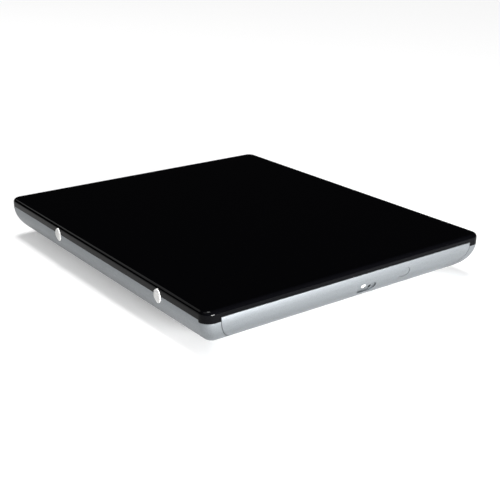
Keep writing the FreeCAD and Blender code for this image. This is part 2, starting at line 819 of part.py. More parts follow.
def pickup_body():
    """Body that carries the lens: bushes on the main rod, a fork on the other, hollow in the middle."""
    lens = lens_home_u
    outline = [(lens - 12, -18), (lens + 1, -18), (lens + 9, -11), (lens + 9, 11),
               (lens + 1, 19), (lens - 12, 19)]
    low, high = pickup_z, pickup_z + pickup_height
    body = polygon_plate(outline, low, high)
    body = body.cut(post(0, 0, low, high, motor_hole_radius + 0.4))
    body = body.cut(box(lens - 6.5, lens + 6.5, -9, 9, low + 1, high))
    body = body.cut(rod_x(lens - 13, lens + 10, main_rod_v, rod_z, main_rod_radius + running_gap))
    body = body.cut(box(lens - 7.5, lens - 3.5, main_rod_v - 3, main_rod_v + 4, low, high))
    fork = aux_rod_radius + fork_gap
    body = body.cut(rod_x(lens - 13, lens + 10, aux_rod_v, rod_z, fork))
    body = body.cut(box(lens - 13, lens + 10, aux_rod_v - 5, aux_rod_v, rod_z - fork, rod_z + fork))
    return seated(body.removeSplitter())


def pickup_shield():
    lens = lens_home_u
    z = pickup_z + pickup_height
    plate = round_plate(lens - 8, lens + 8.6, -10.6, 10.6, z, z + shield_thick, 1)
    plate = plate.cut(post(0, 0, z, z + shield_thick, motor_hole_radius + 0.4))
    return seated(plate.cut(round_plate(lens - 5.2, lens + 5.2, -5.2, 5.2, z, z + shield_thick, 1)))


def actuator_magnets():
    lens = lens_home_u
    z = pickup_z + 1
    base = box(lens - 5.5, lens + 5.5, -8.5, 8.5, z, z + 0.4)
    for side in (-1, 1):
        v0, v1 = sorted((side * 8.4, side * 6.2))
        base = base.fuse(box(lens - 3.2, lens + 3.2, v0, v1, z, z + 2.8))
    return seated(base.removeSplitter())


def screw_follower():
    u0, u1 = lens_home_u - 12, lens_home_u - 7.6
    gap_v = screw_v + lead_screw_radius + running_gap
    arm = box(u0, u1, gap_v, -18, pickup_z + 2.9, pickup_z + pickup_height)
    tip = box(u0, u1, gap_v, gap_v + 0.7, rod_z - 0.9, pickup_z + pickup_height)
    return seated(join(arm, tip))


def lens_holder():
    lens = lens_home_u
    low = pickup_z + 2.2
    block = round_plate(lens - 4, lens + 4, -4.2, 4.2, low, low + 2.4, 0.8)
    collar = post(lens, 0, low + 2.4, low + 2.9, 3.2)
    holder = join(block, collar).cut(post(lens, 0, low - 1, low + 4, 2.2))
    return seated(holder)


def lens():
    """Glass lens: a short disc with a bevelled rim."""
    base_z = pickup_z + 4.0
    disc = post(lens_home_u, 0, base_z, base_z + 1.3, 2.2)
    rim = [edge for edge in disc.Edges if edge.BoundBox.ZMin > base_z + 1]
    return seated(disc.makeChamfer(0.5, rim))


# Spindle


def motor_base():
    plate = post(0, 0, frame_z - 0.6, frame_z, 13.8)
    for degrees in (110, 205, 285):
        turn = math.radians(degrees)
        u, v = 15.6 * math.cos(turn), 15.6 * math.sin(turn)
        plate = plate.fuse(post(u, v, frame_z - 0.6, frame_z, 2.4))
    sleeve = post(0, 0, frame_z, 11.2, 3.0).cut(post(0, 0, frame_z + 0.4, 11.2, shaft_radius + shaft_gap))
    return seated(join(plate, sleeve))


def motor_stator():
    """Nine poled core round the bearing sleeve."""
    core = post(0, 0, 8.6, 10.6, 10.9).cut(post(0, 0, 8.6, 10.6, 3.0))
    for i in range(9):
        slot = box(4.6, 9.6, -0.9, 0.9, 8.6, 10.6)
        slot.rotate(V(0, 0, 0), V(0, 0, 1), i * 40)
        core = core.cut(slot)
    return seated(core)


def spindle_rotor():
    top = hub_flange_z - 1.1
    bottom = frame_z + 0.6
    return turned([(0, bottom), (shaft_radius, bottom), (shaft_radius, top - rotor_wall),
                   (rotor_radius - rotor_wall, top - rotor_wall), (rotor_radius - rotor_wall, 8.3),
                   (rotor_radius, 8.3), (rotor_radius, top), (0, top)])


def disc_hub():
    base_z = hub_flange_z - 1.1
    hub = turned([(0, base_z), (turntable_radius, base_z), (turntable_radius, hub_flange_z),
                  (hub_radius, hub_flange_z), (hub_radius, turntable_z + disc_thick),
                  (hub_radius - hub_taper, hub_top_z), (0, hub_top_z)])
    for degrees in claw_angles:
        slot = box(hub_radius - 2.2 - claw_travel - claw_gap, hub_radius + 1, -claw_width / 2 - claw_gap,
                   claw_width / 2 + claw_gap, claw_z - claw_gap, claw_z + 1.2 + claw_gap)
        hub = hub.cut(at_angle(slot, degrees))
    return hub


def at_angle(shape, degrees):
    """Turn a shape made along +X to an angle about the spindle."""
    placed = shape.copy()
    placed.rotate(V(0, 0, 0), V(0, 0, 1), degrees)
    placed.translate(V(0, hub_y, 0))
    return placed


def friction_ring():
    ring = post(0, hub_y, hub_flange_z, turntable_z, turntable_radius - 0.1)
    return ring.cut(post(0, hub_y, hub_flange_z, turntable_z, ring_inner_radius))


def claw(degrees):
    """Sprung claw whose nose sits just above the disc's inner edge."""
    inner, outer = hub_radius - 2.2, hub_radius + claw_reach
    profile = [(inner, claw_z), (hub_radius - 0.2, claw_z), (hub_radius - 0.2, claw_z + 0.5),
               (outer, claw_z + 0.75), (outer - 0.5, claw_z + 1.2), (inner, claw_z + 1.2)]
    corners = [V(x, -claw_width / 2, z) for x, z in profile]
    face = Part.Face(Part.makePolygon(corners + corners[:1]))
    return at_angle(face.extrude(V(0, claw_width, 0)), degrees)


# Latch and ejector


def latch_lever():
    """Bell crank: a hook that holds the post and a long arm behind the emergency hole."""
    low, high = latch_z, latch_z + latch_thick
    px, py = latch_pivot_x, latch_pivot_y
    tab_y = tray_front_y + tray_wall + 0.3
    arm = [(px - 1, py + 2.6), (px - 2, py - 2.4), (pinhole_x - 1.5, tab_y), (pinhole_x - 1.5, tab_y + 3.2),
           (px - 8, py + 1)]
    catch_y = post_y + post_radius + 0.3
    hook = [(px - 2.4, py), (px + 2.4, py), (px + 2.5, catch_y + 3.5), (px + 2.7, catch_y + 1.7),
            (post_x - 0.1, catch_y + 1.7), (post_x - 0.1, catch_y), (px + 0.7, catch_y)]
    lever = join(post(px, py, low, high, 3.2), polygon_plate(arm, low, high), polygon_plate(hook, low, high),
                 box(pinhole_x - 1.5, pinhole_x + 1.5, tab_y + 1, tab_y + 2, low, pinhole_z + 1))
    lever = lever.cut(post(px, py, low, high, latch_pivot_radius + running_gap))
    lever.rotate(V(px, py, 0), V(0, 0, 1), -latch_swing)
    return lever


def latch_solenoid():
    x0, y0 = 20.5, -55.0
    coil = rod_x(x0 + 1, x0 + 12, y0 + 4, 9.2, 2.2)
    yoke = box(x0, x0 + 13, y0, y0 + 8, latch_z, deck_under_z).cut(
        box(x0 + 1, x0 + 12, y0 - 1, y0 + 9, latch_z - 1, deck_under_z - 0.6))
    return join(coil, yoke)


def ejector_rod():
    return join(rod_y(ejector_x, tray_rear_y - 22, drive_rear_y - sheet - 0.1, ejector_z, ejector_radius),
                rod_y(ejector_x, tray_rear_y - 4.2, tray_rear_y - 3, ejector_z, 2.3))


def ejector_spring():
    tube = rod_y(ejector_x, tray_rear_y - 18, tray_rear_y - 4.2, ejector_z, 2.1)
    return tube.cut(rod_y(ejector_x, tray_rear_y - 19, tray_rear_y, ejector_z, ejector_radius + 0.2))


# Boards, cable and sockets


def tray_board_screws():
    return ((-50.0, tray_rear_y - 6), (-3.0, tray_rear_y - 8), (39.0, -16.0))


def tray_board():
    rear = tray_rear_y - tray_wall - 1
    low, high = tray_board_z, tray_board_z + board_thick
    left = ejector_x + 5
    edge = cable_x + cable_width / 2 + 1
    outline = [(left, 20), (18, 20), (27, 11), (27, -22), (edge, -22), (edge, notch_y - tray_wall - 0.6),
               (notch_x - tray_wall - 1, notch_y - tray_wall - 0.6), (notch_x - tray_wall - 1, rear), (left, rear)]
    return polygon_plate(outline, low, high)


def tray_chips():
    low = tray_board_z
    chips = [box(-24, -6, 22, 40, low - 1.4, low), box(-42, -30, 24, 36, low - 1.2, low),
             box(4, 12, 23, 31, low - 1.2, low), box(29, 41, -8, 4, low + board_thick, low + board_thick + 0.9)]
    x0, x1 = cable_x - cable_width / 2 - 1, cable_x + cable_width / 2 + 1
    chips.append(box(x0, x1, notch_y - 6, notch_y - 2, cable_high_z - 0.6, low))
    return group(chips)


def flat_cable():
    """Ribbon cable: along the pan, up round a fold and back to the tray's board."""
    half = cable_thick / 2
    x0 = cable_x - cable_width / 2
    middle = (cable_low_z + cable_high_z) / 2
    bend = (cable_high_z - cable_low_z) / 2
    socket_z = drive_z + sheet + 1.9
    end_y = notch_y + 3.5
    high = box(x0, x0 + cable_width, cable_fold_y, notch_y - 6, cable_high_z - half, cable_high_z + half)
    low = box(x0, x0 + cable_width, cable_fold_y, notch_y - 6, cable_low_z - half, cable_low_z + half)
    ring = rod_x(x0, x0 + cable_width, cable_fold_y, middle, bend + half)
    ring = ring.cut(rod_x(x0, x0 + cable_width, cable_fold_y, middle, bend - half))
    ring = ring.common(box(x0, x0 + cable_width, cable_fold_y - 5, cable_fold_y, 0, deck_z))
    steps = [(notch_y - 6, cable_low_z - half), (notch_y - 0.5, cable_low_z - half), (end_y - 1, socket_z - half),
             (end_y, socket_z - half), (end_y, socket_z + half), (end_y - 1, socket_z + half),
             (notch_y - 0.5, cable_low_z + half), (notch_y - 6, cable_low_z + half)]
    corners = [V(x0, y, z) for y, z in steps]
    ramp = Part.Face(Part.makePolygon(corners + corners[:1])).extrude(V(cable_width, 0, 0))
    return join(high, low, ring, ramp)


def connector_board():
    z = drive_z + sheet
    board = box(2, pan_inside - 3, notch_y + 2, drive_rear_y - sheet - 0.4, z + 0.4, z + 0.4 + board_thick)
    for x in (8, pan_inside - 8):
        board = board.fuse(post(x, notch_y + 12, z, z + 0.4, 2))
    return board.removeSplitter()


def drive_connectors():
    """Socket of the flat cable and the rear plug, both on the fixed board."""
    z = drive_z + sheet + 0.4 + board_thick
    x0, x1 = cable_x - cable_width / 2 - 1, cable_x + cable_width / 2 + 1
    half = connector_width / 2
    return group([box(x0, x1, notch_y + 3.5, notch_y + 7.5, z, z + 1.8),
                  box(connector_x - half, connector_x + half, drive_rear_y - 5, drive_rear_y + 2, z, z + 4.2)])


def board_screw_places():
    return [(side * board_screw_x, bridge_middle_y) for side in (-1, 1)]


def bridge_board():
    low, high = bridge_board_z, bridge_board_z + bridge_board_thick
    half = board_screw_x + board_margin
    board = round_plate(-half, half, drive_rear_y + board_margin, half_depth - board_margin, low, high, 1.5)
    for x, y in board_screw_places():
        board = board.cut(post(x, y, low, high, screw_radius))
    return board


def board_screws():
    top = bridge_board_z + bridge_board_thick
    screws = []
    for x, y in board_screw_places():
        shank = post(x, y, inner_floor_z + 2, top, screw_radius)
        screws.append(join(shank, post(x, y, top, top + 0.7, screw_head_radius)))
    return group(screws)


def bridge_connector():
    half = connector_width / 2
    z = drive_z + sheet + 0.4 + board_thick
    body = box(connector_x - half - 1, connector_x + half + 1, drive_rear_y + 0.6, drive_rear_y + 6.5,
               z - 0.6, z + 4.8)
    return body.cut(box(connector_x - half, connector_x + half, drive_rear_y, drive_rear_y + 2, z, z + 4.2))


def bridge_chips():
    z = bridge_board_z + bridge_board_thick
    y = bridge_middle_y
    chips = [box(-8, 4, y - 6, y + 6, z, z + 1.4), box(-30, -23, y - 6, y, z, z + 1.2),
             box(10, 15, y - 5, y - 2, z, z + 1.3), box(24, 30, y - 3, y + 3, z, z + 2.6)]
    capacitors = [post(-14, y - 3, z, z + 4.2, 2.6), post(21, y + 6.4, z, z + 3.4, 2.0)]
    return group(chips + capacitors)


def usb_socket():
    z = bridge_board_z + bridge_board_thick
    y0 = socket_face_y - usb_length
    x0, x1 = usb_x - usb_width / 2, usb_x + usb_width / 2
    shell = box(x0, x1, y0, socket_face_y, z, z + usb_height)
    shell = shell.cut(box(x0 + 0.4, x1 - 0.4, y0 + 2, socket_face_y, z + 0.4, z + usb_height - 0.4))
    return join(shell, box(x0 + 1.6, x1 - 1.6, y0 + 1.9, socket_face_y - 1.5, z + 1.5, z + 2.3))


def power_jack():
    z = bridge_board_z + bridge_board_thick
    middle = z + jack_height / 2
    y0 = socket_face_y - 9
    block = box(jack_x - jack_width / 2, jack_x + jack_width / 2, y0, socket_face_y - 3.8, z, z + jack_height)
    block = block.fuse(rod_y(jack_x, y0, socket_face_y, middle, jack_height / 2))
    block = block.cut(rod_y(jack_x, y0 + 1.5, socket_face_y, middle, jack_bore))
    return join(block, rod_y(jack_x, y0 + 1, socket_face_y - 1, middle, jack_pin))


parts = {
    "top_cover": top_cover(),
    "bottom_cover": bottom_cover(),
    "rubber_feet": rubber_feet(),
    "side_pads": side_pads(),
    "case_screws": case_screws(),
    "drive_screws": drive_screws(),
    "drive_pan": drive_pan(),
    "drive_top_plate": drive_top_plate(),
    "top_plate_screws": top_plate_screws(),
    "slide_guide_left": slide_guide(-1),
    "slide_guide_right": slide_guide(1),
    "slide_rail_left": slide_rail(-1),
    "slide_rail_right": slide_rail(1),
    "latch_post": latch_post(),
    "connector_board": connector_board(),
    "drive_connectors": drive_connectors(),
    "flat_cable": flat_cable(),
    "bridge_board": bridge_board(),
    "board_screws": board_screws(),
    "bridge_chips": bridge_chips(),
    "bridge_connector": bridge_connector(),
    "usb_socket": usb_socket(),
    "power_jack": power_jack(),
    "tray": tray(),
    "tray_bottom_plate": tray_bottom_plate(),
    "bezel": bezel(),
    "light_guide": light_guide(),
    "front_board": front_board(),
    "eject_switch": eject_switch(),
    "indicator_light": indicator_light(),
    "eject_button": eject_button(),
    "tray_board": tray_board(),
    "tray_chips": tray_chips(),
    "latch_lever": latch_lever(),
    "latch_solenoid": latch_solenoid(),
    "ejector_rod": ejector_rod(),
    "ejector_spring": ejector_spring(),
    "traverse_frame": traverse_frame(),
    "dampers": dampers(),
    "damper_screws": damper_screws(),
    "guide_rod_main": guide_rod_main(),
    "guide_rod_aux": guide_rod_aux(),
    "sled_motor": sled_motor(),
    "screw_bearing": screw_bearing(),
    "lead_screw": lead_screw(),
    "motor_base": motor_base(),
    "motor_stator": motor_stator(),
    "spindle_rotor": spindle_rotor(),
    "disc_hub": disc_hub(),
    "friction_ring": friction_ring(),
    "pickup_body": pickup_body(),
    "pickup_shield": pickup_shield(),
    "actuator_magnets": actuator_magnets(),
    "screw_follower": screw_follower(),
    "lens_holder": lens_holder(),
    "lens": lens(),
}
for number, degrees in enumerate(claw_angles, 1):
    parts["disc_claw_%d" % number] = claw(degrees)

os.makedirs("parts", exist_ok=True)
for name, shape in parts.items():
    shape.exportStep("parts/%s.step" % name)
    print(name, "solids", len(shape.Solids), "valid", shape.isValid(), "volume", round(shape.Volume, 2))
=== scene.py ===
import bpy, bmesh, json, math
from mathutils import Matrix, Vector


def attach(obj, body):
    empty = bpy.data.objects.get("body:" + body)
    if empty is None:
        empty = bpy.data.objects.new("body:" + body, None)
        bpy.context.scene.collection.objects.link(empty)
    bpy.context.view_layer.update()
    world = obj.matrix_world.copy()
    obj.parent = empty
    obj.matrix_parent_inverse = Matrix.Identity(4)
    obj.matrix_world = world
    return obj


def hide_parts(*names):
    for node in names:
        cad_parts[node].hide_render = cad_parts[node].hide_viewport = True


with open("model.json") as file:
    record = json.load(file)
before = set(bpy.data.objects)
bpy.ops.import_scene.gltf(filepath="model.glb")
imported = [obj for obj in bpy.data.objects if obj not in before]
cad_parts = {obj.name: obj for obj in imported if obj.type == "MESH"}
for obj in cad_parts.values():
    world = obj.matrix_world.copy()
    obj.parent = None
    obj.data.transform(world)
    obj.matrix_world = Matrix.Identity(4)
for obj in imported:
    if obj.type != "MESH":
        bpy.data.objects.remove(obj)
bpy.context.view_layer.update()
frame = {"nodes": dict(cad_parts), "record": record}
MM = 0.001


# Materials


def colour(text):
    """sRGB hex value as linear red, green, blue, alpha."""
    levels = [int(text[i:i + 2], 16) / 255 for i in (1, 3, 5)]
    return [c / 12.92 if c <= 0.04045 else ((c + 0.055) / 1.055) ** 2.4 for c in levels] + [1.0]


def add(tree, kind, settings=None, links=None):
    """Add a node, set its properties or sockets by name, and link its sockets to others'."""
    node = tree.nodes.new(kind)
    for key, value in (settings or {}).items():
        if isinstance(key, str) and hasattr(node, key):
            setattr(node, key, value)
        else:
            node.inputs[key].default_value = value
    for key, source in (links or {}).items():
        tree.links.new(source, node.inputs[key])
    return node


def start(name, base, rough, metallic=0.0, **more):
    """A material with one principled shader on object coordinates; gives back its parts."""
    mat = bpy.data.materials.new(name)
    mat.use_nodes = True
    tree = mat.node_tree
    shader = tree.nodes["Principled BSDF"]
    shader.inputs["Base Color"].default_value = colour(base)
    shader.inputs["Roughness"].default_value = rough
    shader.inputs["Metallic"].default_value = metallic
    for key, value in more.items():
        shader.inputs[key.replace("_", " ")].default_value = value
    place = add(tree, "ShaderNodeTexCoord")
    return mat, tree, shader, place.outputs["Object"]


def tint(tree, shader, fac, dark, light, low=0.3, high=0.7):
    """Colour between two hex values over a pattern."""
    ramp = add(tree, "ShaderNodeValToRGB", {}, {"Fac": fac})
    ramp.color_ramp.elements[0].position = low
    ramp.color_ramp.elements[0].color = colour(dark)
    ramp.color_ramp.elements[1].position = high
    ramp.color_ramp.elements[1].color = colour(light)
    tree.links.new(ramp.outputs["Color"], shader.inputs["Base Color"])


def vary(tree, shader, fac, low, high):
    """Roughness between two values over a pattern."""
    spread = add(tree, "ShaderNodeMapRange", {"To Min": low, "To Max": high}, {"Value": fac})
    tree.links.new(spread.outputs["Result"], shader.inputs["Roughness"])


def relief(tree, shader, height, depth_mm, strength):
    """Fine bumps over a pattern."""
    bump = add(tree, "ShaderNodeBump", {"Strength": strength, "Distance": depth_mm * MM}, {"Height": height})
    tree.links.new(bump.outputs["Normal"], shader.inputs["Normal"])


def noise(tree, place, size_mm, detail=2.0, stretch=None):
    """Noise whose features are about size_mm across, stretched along an axis if asked."""
    source = place
    if stretch:
        source = add(tree, "ShaderNodeMapping", {"Scale": stretch}, {"Vector": place}).outputs["Vector"]
    return add(tree, "ShaderNodeTexNoise", {"Scale": 1 / (size_mm * MM), "Detail": detail},
               {"Vector": source}).outputs["Fac"]


def gloss_black_lacquer():
    """Injection moulded ABS under clear lacquer: deep black, mirror gloss, the faintest waviness."""
    mat, tree, shader, place = start("lacquered_black_abs", "#030304", 0.035, Specular_IOR_Level=0.06)
    vary(tree, shader, noise(tree, place, 30, 3), 0.025, 0.045)
    relief(tree, shader, noise(tree, place, 14, 0), 0.002, 0.05)
    return mat


def silver_paint():
    """Silver paint on moulded ABS: fine flakes, satin sheen."""
    mat, tree, shader, place = start("silver_painted_abs", "#787c7f", 0.44, 0.95)
    flakes = add(tree, "ShaderNodeTexVoronoi", {"Scale": 1 / (0.35 * MM)}, {"Vector": place})
    tint(tree, shader, flakes.outputs["Distance"], "#808487", "#707477", 0.0, 1.0)
    vary(tree, shader, noise(tree, place, 0.5, 2), 0.4, 0.48)
    relief(tree, shader, flakes.outputs["Distance"], 0.004, 0.12)
    return mat


def white_moulding():
    """White ABS, moulded with a fine spark eroded grain."""
    mat, tree, shader, place = start("moulded_white_abs", "#e8e8e6", 0.38)
    tint(tree, shader, noise(tree, place, 2, 2), "#e2e2e0", "#eeeeec")
    relief(tree, shader, noise(tree, place, 0.15, 2), 0.01, 0.2)
    return mat


def moulded(name, dark, light, rough, grain_mm=0.12):
    """Moulded plastic with a matte grain, a little uneven in colour."""
    mat, tree, shader, place = start(name, light, rough)
    tint(tree, shader, noise(tree, place, 3, 3), dark, light)
    vary(tree, shader, noise(tree, place, 1.2, 3), rough - 0.06, rough + 0.08)
    relief(tree, shader, noise(tree, place, grain_mm, 2), 0.01, 0.35)
    return mat


def rubber():
    """Moulded silicone rubber: dull, with dusty patches."""
    mat, tree, shader, place = start("moulded_black_rubber", "#161616", 0.75)
    tint(tree, shader, noise(tree, place, 1.5, 4), "#101010", "#242423")
    relief(tree, shader, noise(tree, place, 0.2, 2), 0.02, 0.3)
    return mat


def rolled_steel():
    """Zinc coated sheet steel: faint rolling lines, cloudy spangle."""
    mat, tree, shader, place = start("zinc_coated_sheet_steel", "#b4b6b8", 0.3, 1.0)
    lines = noise(tree, place, 0.3, 3, (1, 0.02, 1))
    tint(tree, shader, noise(tree, place, 6, 3), "#a6a8aa", "#c0c2c4")
    vary(tree, shader, lines, 0.24, 0.42)
    relief(tree, shader, lines, 0.006, 0.2)
    return mat


def ground_steel():
    """Ground and polished steel, as on guide rods and rails."""
    mat, tree, shader, place = start("ground_bright_steel", "#cfd1d3", 0.16, 1.0)
    lines = noise(tree, place, 0.15, 2, (0.05, 0.05, 1))
    vary(tree, shader, lines, 0.12, 0.26)
    return mat


def cast_alloy():
    """Die cast zinc alloy: dull grey skin with flow marks."""
    mat, tree, shader, place = start("die_cast_zinc_alloy", "#8f9193", 0.42, 0.9)
    tint(tree, shader, noise(tree, place, 4, 4), "#7f8183", "#9b9d9f")
    vary(tree, shader, noise(tree, place, 1.0, 3), 0.36, 0.52)
    relief(tree, shader, noise(tree, place, 0.4, 3), 0.02, 0.25)
    return mat


def circuit_board():
    """Fibreglass board under green solder mask, with paler copper tracks showing through."""
    mat, tree, shader, place = start("green_solder_mask_board", "#0c4426", 0.3, Coat_Weight=0.3,
                                     Coat_Roughness=0.15)
    tracks = add(tree, "ShaderNodeTexBrick", {"Scale": 1 / (9 * MM), "Color1": colour("#0b3f23"),
                 "Color2": colour("#0e4829"), "Mortar": colour("#1a6238"), "Mortar Size": 0.012,
                 "Brick Width": 1.4, "Row Height": 0.1, "offset": 0.37, "squash": 0.6}, {"Vector": place})
    tree.links.new(tracks.outputs["Color"], shader.inputs["Base Color"])
    relief(tree, shader, tracks.outputs["Fac"], 0.03, 0.3)
    return mat


def ribbon_film():
    """Polyester ribbon cable: milky film over tinned conductors at 1 mm spacing."""
    mat, tree, shader, place = start("polyester_ribbon_cable", "#c9ccd0", 0.32, 0.1)
    wires = add(tree, "ShaderNodeTexWave", {"Scale": 1 / (6.28 * MM), "bands_direction": "X"},
                {"Vector": place})
    tint(tree, shader, wires.outputs["Fac"], "#dcdedf", "#9da1a6", 0.35, 0.65)
    relief(tree, shader, wires.outputs["Fac"], 0.03, 0.3)
    return mat


def gold_contact():
    """Gold flashed contact spring: warm, bright, faintly drawn along its length."""
    mat, tree, shader, place = start("gold_plated_contact", "#d8b468", 0.22, 1.0)
    lines = noise(tree, place, 0.1, 2, (1, 0.1, 1))
    tint(tree, shader, lines, "#c9a458", "#e2c078")
    vary(tree, shader, lines, 0.16, 0.32)
    return mat


def clear_acrylic():
    """Frosted acrylic light guide."""
    mat, tree, shader, place = start("frosted_acrylic", "#f4f6f4", 0.25, Coat_Weight=0.4)
    tint(tree, shader, noise(tree, place, 0.6, 2), "#eef0ee", "#fbfcfb")
    return mat


def coated_glass():
    """Moulded glass lens with a violet anti reflection coating."""
    mat, tree, shader, place = start("coated_lens_glass", "#a9b4e8", 0.03, Transmission_Weight=0.55,
                                     Coat_Weight=0.5)
    tint(tree, shader, noise(tree, place, 2, 1), "#98a4dc", "#bcc4f0")
    return mat


def enamelled_copper():
    """Enamelled copper wire wound on the stator's poles."""
    mat, tree, shader, place = start("enamelled_copper_winding", "#b0602c", 0.3, 0.9)
    wires = add(tree, "ShaderNodeTexWave", {"Scale": 1 / (2.5 * MM), "bands_direction": "Z"},
                {"Vector": place})
    tint(tree, shader, wires.outputs["Fac"], "#8a4218", "#c9773c", 0.2, 0.8)
    relief(tree, shader, wires.outputs["Fac"], 0.08, 0.5)
    return mat


finish = {
    "gloss_black": gloss_black_lacquer(),
    "silver_paint": silver_paint(),
    "white_plastic": white_moulding(),
    "black_rubber": rubber(),
    "zinc_steel": rolled_steel(),
    "bright_steel": ground_steel(),
    "black_plastic": moulded("moulded_black_abs", "#151516", "#202022", 0.45),
    "cast_alloy": cast_alloy(),
    "green_board": circuit_board(),
    "chip_black": moulded("epoxy_chip_housing", "#141415", "#1d1d1e", 0.5, 0.08),
    "cable_film": ribbon_film(),
    "clear_plastic": clear_acrylic(),
    "lens_glass": coated_glass(),
    "ivory_plastic": moulded("moulded_acetal", "#d8d4c4", "#e4e0d2", 0.4),
    "copper_wire": enamelled_copper(),
}


# Pieces, in millimetres until they are scaled by MM


slots = {row["node"]: row["material_slot"] for row in frame["record"]["subparts"]}
body_of = {node: body for body, nodes in frame["record"]["behaviour"]["bodies"].items() for node in nodes}

crisp_edge = 0.15
soft_edge = 0.25
moulded_edge = 0.12
stamped_edge = 0.06
sharp_deg = 35

# Bottom screws: head face at this height, looking down
bottom_head_z = 0.9
bottom_head = {"head_radius": 1.9, "head_height": 0.9, "shank_radius": 1.0}
case_screw_length, drive_screw_length = 11.2, 3.7
damper_head_z = 6.45
damper_head = {"head_radius": 2.2, "head_height": 0.35, "shank_radius": 1.1}
damper_screw_length = 4.0
damper_places = ((-12.5, -13.5), (3.0, 18.6), (30.0, -31.5))
recess_cells = 9
rim_swell = 1.06

# Pickup unit: where the spindle stands and which way the pickup travels
spindle_y = -16
travel_deg = 225
screw_u, screw_v, screw_z = -1.7, -21, 8.9
thread_pitch = 3.0

# Sockets and the ejector's spring
usb_x = -20
usb_tongue = ((usb_x - 2.28, 76.0, 10.67), (usb_x + 2.28, 82.73, 11.53))
usb_spring_step, usb_spring_half = 0.8, 0.2
jack_x, jack_z = 14, 12.0
jack_pin_y, jack_sleeve_y = 75.5, 77.2
spring_x, spring_y, spring_z = -53.5, 29.8, 9.0
spring_radius, spring_wire, spring_pitch = 1.78, 0.28, 1.45


def dress(node, edge_mm):
    """A finished copy of a machined or moulded node: merged, smooth, with its sharp edges broken."""
    source = frame["nodes"][node]
    piece = source.copy()
    piece.data = source.data.copy()
    piece.name = node + "_finished"
    piece.parent = None
    piece.matrix_world = Matrix.Identity(4)
    bpy.context.collection.objects.link(piece)
    bm = bmesh.new()
    bm.from_mesh(piece.data)
    bmesh.ops.remove_doubles(bm, verts=bm.verts, dist=0.002 * MM)
    bmesh.ops.dissolve_limit(bm, angle_limit=math.radians(0.5), verts=bm.verts, edges=bm.edges)
    bm.to_mesh(piece.data)
    bm.free()
    piece.data.shade_smooth()
    piece.data.set_sharp_from_angle(angle=math.radians(sharp_deg))
    bevel = piece.modifiers.new("edge", "BEVEL")
    bevel.width = edge_mm * MM
    bevel.segments = 2
    bevel.limit_method = "ANGLE"
    bevel.angle_limit = math.radians(sharp_deg)
    flat = piece.modifiers.new("flat_faces", "WEIGHTED_NORMAL")
    flat.keep_sharp = True
    piece.data.materials.clear()
    piece.data.materials.append(finish[slots[node]])
    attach(piece, body_of[node])
    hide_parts(node)


def keep(bm, name, body, material, slot, *nodes):
    """Turn a finished bmesh into a piece that rides on a body and stands for its nodes."""
    bmesh.ops.recalc_face_normals(bm, faces=bm.faces)
    mesh = bpy.data.meshes.new(name)
    bm.to_mesh(mesh)
    bm.free()
    mesh.shade_smooth()
    mesh.set_sharp_from_angle(angle=math.radians(38))
    mesh.materials.append(material)
    piece = bpy.data.objects.new(name, mesh)
    bpy.context.collection.objects.link(piece)
    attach(piece, body)
    if nodes:
        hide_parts(*nodes)


def block(bm, low, high, edge):
    """Block between two corners with its edges rounded."""
    low, high = Vector(low) * MM, Vector(high) * MM
    made = bmesh.ops.create_cube(bm, size=1.0)["verts"]
    bmesh.ops.scale(bm, vec=high - low, verts=made)
    bmesh.ops.translate(bm, vec=(low + high) / 2, verts=made)
    edges = list({e for v in made for e in v.link_edges})
    bmesh.ops.bevel(bm, geom=edges, offset=edge * MM, offset_type="OFFSET", affect="EDGES", segments=2,
                    profile=0.5, material=-1)


def axis_points(bm, profile, origin, axis):
    """Vertices at (radius, distance along the axis) places, all on one side of the axis."""
    out = axis.orthogonal().normalized()
    return [bm.verts.new((Vector(origin) + out * r + axis * d) * MM) for r, d in profile]


def turned(bm, profile, origin, axis, steps):
    """Solid turned about an axis from a profile that is closed or starts and ends on the axis."""
    axis = Vector(axis).normalized()
    points = axis_points(bm, profile, origin, axis)
    edges = [bm.edges.new(pair) for pair in zip(points, points[1:])]
    bmesh.ops.spin(bm, geom=points + edges, cent=Vector(origin) * MM, axis=axis, angle=math.tau, steps=steps,
                   use_merge=True)
    bmesh.ops.remove_doubles(bm, verts=bm.verts, dist=0.001 * MM)


def wound(bm, ring, origin, axis, pitch, turns, steps):
    """Closed ring carried round an axis as a helix; a pitch below zero makes it left handed."""
    axis = Vector(axis).normalized()
    points = axis_points(bm, ring, origin, axis)
    face = bm.faces.new(points)
    bmesh.ops.spin(bm, geom=[face] + list(face.edges) + points, cent=Vector(origin) * MM, axis=axis,
                   dvec=axis * (pitch * MM / steps), angle=math.tau * turns, steps=turns * steps)


def corners_of(made):
    """The vertices among what an operator made."""
    return [g for g in made if isinstance(g, bmesh.types.BMVert)]


